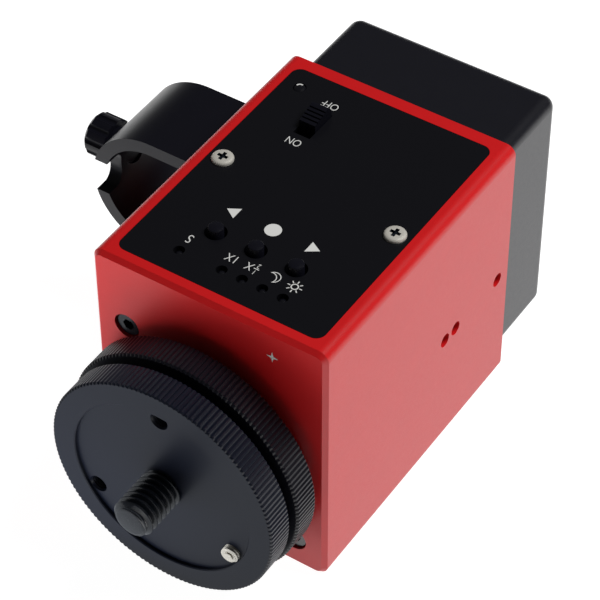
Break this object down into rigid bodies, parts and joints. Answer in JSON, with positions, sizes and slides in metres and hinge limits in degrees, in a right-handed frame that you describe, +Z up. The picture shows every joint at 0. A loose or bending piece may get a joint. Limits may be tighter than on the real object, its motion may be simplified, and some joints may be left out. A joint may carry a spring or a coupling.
{
  "type": "star tracker mount",
  "caption": "Compact motorised star tracker: a red drive box turns a round camera plate by worm and clutch, with a side polar-scope clamp and a battery box.",
  "frame": {"origin": "centre of the tripod socket in the flat base", "axes": "+Z up, +Y from the camera plate towards the battery box (the polar axis runs along Y), +X to the right seen from the camera plate"},
  "size_m": [0.099, 0.1253, 0.0717],
  "materials": {
    "red_anodised": "bead-blasted red anodised aluminium",
    "black_anodised": "satin black anodised aluminium",
    "black_gloss": "glossy",
    "black_plastic": "satin",
    "steel": "machined",
    "black_steel": "black oxide",
    "aluminium": "milled",
    "bronze": "machined",
    "green_board": "solder mask",
    "clear_lens": "diffusing",
    "nylon": "matte",
    "cell_sleeve": "plain sleeve"
  },
  "bodies": {
    "box": {"main_housing": "red_anodised", "rear_plate": "black_anodised", "rear_plate_screws": "black_steel", "tripod_insert": "steel", "control_panel": "black_gloss", "panel_screws": "steel", "key_switches": "black_plastic", "circuit_board": "green_board", "board_standoffs": "steel", "board_chips": "black_plastic", "mode_leds": "clear_lens", "power_led": "clear_lens", "power_switch_body": "black_plastic", "front_bearing_outer": "steel", "rear_bearing_outer": "steel", "gear_frame": "aluminium", "frame_screws": "black_steel", "worm_carrier": "aluminium", "worm_bearing_outers": "steel", "idler_axle": "steel", "stepper_motor": "steel", "motor_bracket": "aluminium", "scope_clamp": "black_anodised", "clamp_screws": "black_steel", "battery_box": "black_plastic", "battery_box_screws": "black_steel", "battery_cells": "cell_sleeve", "battery_contacts": "steel"},
    "drive": {"drive_sleeve": "aluminium", "worm_wheel": "bronze", "front_bearing_inner": "steel", "rear_bearing_inner": "steel", "front_bearing_balls": "steel", "rear_bearing_balls": "steel", "spindle_bushes": "bronze"},
    "plate": {"camera_plate": "black_anodised", "ball_head_stud": "steel", "lock_screw": "steel", "polar_spindle": "steel", "spindle_nut": "steel", "spring_washer": "steel", "clutch_washer": "nylon"},
    "clutch": {"clutch_ring": "black_anodised"},
    "worm_shaft": {"worm": "steel", "worm_gear": "bronze", "worm_bearing_inners": "steel", "worm_bearing_balls": "steel"},
    "idler": {"idler_gear": "bronze"},
    "motor_pinion": {"motor_gear": "bronze", "motor_shaft": "steel"},
    "pad": {"clamp_pad": "black_plastic"},
    "thumb": {"thumb_screw": "black_anodised"},
    "key_left": {"button_left": "black_plastic"},
    "key_middle": {"button_middle": "black_plastic"},
    "key_right": {"button_right": "black_plastic"},
    "switch": {"power_switch_knob": "black_plastic"},
    "cover": {"battery_cover": "black_plastic"}
  },
  "joints": [
    {"name": "ra_drive", "type": "hinge", "parent": "box", "child": "drive", "pos_m": [0, 0, 0.029], "axis": [0, 1, 0], "continuous": true},
    {"name": "clutch_slip", "type": "hinge", "parent": "drive", "child": "plate", "pos_m": [0, 0, 0.029], "axis": [0, 1, 0], "continuous": true},
    {"name": "clutch_ring_turn", "type": "hinge", "parent": "plate", "child": "clutch", "pos_m": [0, -0.044, 0.029], "axis": [0, 1, 0], "range_deg": [-120, 0]},
    {"name": "worm_spin", "type": "hinge", "parent": "box", "child": "worm_shaft", "pos_m": [0, -0.0195, 0.04862], "axis": [1, 0, 0], "continuous": true},
    {"name": "idler_spin", "type": "hinge", "parent": "box", "child": "idler", "pos_m": [0.0215, -0.00638, 0.04862], "axis": [1, 0, 0], "continuous": true},
    {"name": "motor_spin", "type": "hinge", "parent": "box", "child": "motor_pinion", "pos_m": [0.0215, 0.00674, 0.04862], "axis": [1, 0, 0], "continuous": true},
    {"name": "pad_travel", "type": "slide", "parent": "box", "child": "pad", "axis": [1, 0, 0], "range_m": [0, 0.0009]},
    {"name": "thumb_screw_turn", "type": "hinge", "parent": "pad", "child": "thumb", "pos_m": [-0.066, 0.0172, 0.0403], "axis": [1, 0, 0], "range_deg": [0, 463]},
    {"name": "key_left_press", "type": "slide", "parent": "box", "child": "key_left", "axis": [0, 0, 1], "range_m": [-0.0003, 0], "stiffness_N_per_m": 3000},
    {"name": "key_middle_press", "type": "slide", "parent": "box", "child": "key_middle", "axis": [0, 0, 1], "range_m": [-0.0003, 0], "stiffness_N_per_m": 3000},
    {"name": "key_right_press", "type": "slide", "parent": "box", "child": "key_right", "axis": [0, 0, 1], "range_m": [-0.0003, 0], "stiffness_N_per_m": 3000},
    {"name": "power_switch_slide", "type": "slide", "parent": "box", "child": "switch", "axis": [0, -1, 0], "range_m": [0, 0.0022]},
    {"name": "battery_cover_tilt", "type": "hinge", "parent": "box", "child": "cover", "pos_m": [0.00145, 0.0573, 0.06385], "axis": [1, 0, 0], "range_deg": [0, 70]}
  ],
  "couplings": [
    {"joint": "worm_spin", "follows": "ra_drive", "ratio": -64},
    {"joint": "idler_spin", "follows": "ra_drive", "ratio": 40},
    {"joint": "motor_spin", "follows": "ra_drive", "ratio": -64},
    {"joint": "thumb_screw_turn", "follows": "pad_travel", "rad_per_m": 8976}
  ]
}
